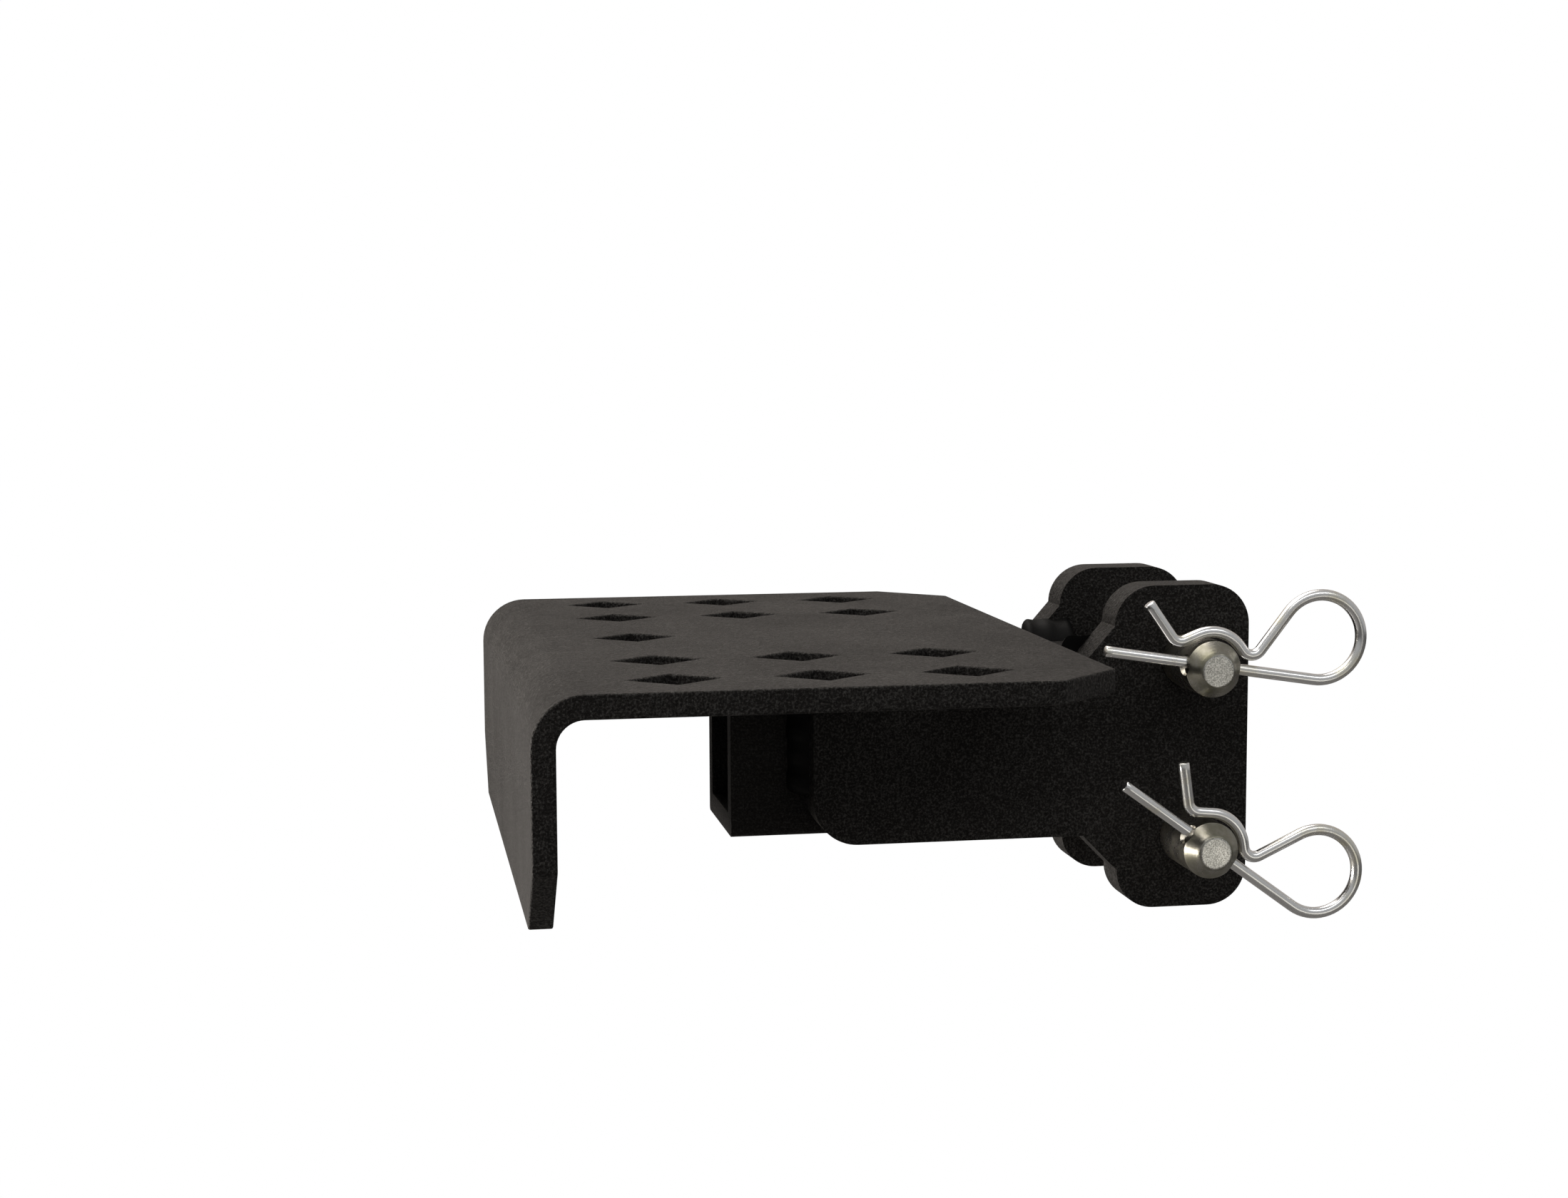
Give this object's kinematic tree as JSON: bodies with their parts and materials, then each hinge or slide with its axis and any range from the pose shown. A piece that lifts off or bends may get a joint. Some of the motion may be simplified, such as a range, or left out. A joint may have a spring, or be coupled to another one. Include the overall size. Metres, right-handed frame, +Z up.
{
  "type": "hitch step",
  "caption": "Perforated, bent step plate on a rectangular tube that ends in a two-pin clevis with hairpin clips, for standing on behind a tow vehicle.",
  "frame": {"origin": "the upper pin's axis, midway between the two cheek plates", "axes": "+X towards the towing vehicle, +Y across the vehicle away from the pins' tips, +Z up"},
  "size_m": [0.2375, 0.2224, 0.0936],
  "materials": {
    "powder_coat": "satin black powder coat with a fine texture",
    "pin_steel": "turned and plated bright steel",
    "clip_wire": "bright plated spring wire with a faint yellow cast"
  },
  "bodies": {
    "frame": {"tread_plate": "powder_coat", "spine_tube": "powder_coat", "cheek_near": "powder_coat", "cheek_far": "powder_coat", "weld_pocket_near": "powder_coat", "weld_pocket_far": "powder_coat", "weld_pocket_end": "powder_coat", "weld_tread_front": "powder_coat", "weld_tread_near": "powder_coat", "weld_tread_far": "powder_coat", "weld_tread_tube": "powder_coat", "weld_rear_near": "powder_coat", "weld_rear_far": "powder_coat", "weld_underside": "powder_coat"},
    "pin_upper": {"pin_upper": "pin_steel"},
    "pin_lower": {"pin_lower": "pin_steel"},
    "clip_upper": {"clip_upper_leg": "clip_wire"},
    "clip_upper_arm": {"clip_upper_arm": "clip_wire"},
    "clip_lower": {"clip_lower_leg": "clip_wire"},
    "clip_lower_arm": {"clip_lower_arm": "clip_wire"}
  },
  "joints": [
    {"name": "pin_upper_turn", "type": "hinge", "parent": "frame", "child": "pin_upper", "pos_m": [0, 0, 0], "axis": [0, 1, 0], "range_deg": [-55, 8]},
    {"name": "pin_lower_turn", "type": "hinge", "parent": "frame", "child": "pin_lower", "pos_m": [0, 0, -0.0508], "axis": [0, 1, 0], "range_deg": [-5, 110]},
    {"name": "clip_upper_pull", "type": "slide", "parent": "pin_upper", "child": "clip_upper", "axis": [0.988, 0, -0.1547], "range_m": [0, 0.04]},
    {"name": "clip_lower_pull", "type": "slide", "parent": "pin_lower", "child": "clip_lower", "axis": [0.807, 0, -0.5906], "range_m": [0, 0.04]},
    {"name": "clip_upper_flex", "type": "hinge", "parent": "clip_upper", "child": "clip_upper_arm", "pos_m": [0.04513, -0.0528, 0.00573], "axis": [0, 1, 0], "range_deg": [0, 30.2]},
    {"name": "clip_lower_flex", "type": "hinge", "parent": "clip_lower", "child": "clip_lower_arm", "pos_m": [0.04273, -0.0528, -0.06641], "axis": [0, 1, 0], "range_deg": [0, 30.2]}
  ],
  "couplings": [
    {"joint": "clip_upper_flex", "follows": "clip_upper_pull", "rad_per_m": 13},
    {"joint": "clip_lower_flex", "follows": "clip_lower_pull", "rad_per_m": 13}
  ]
}
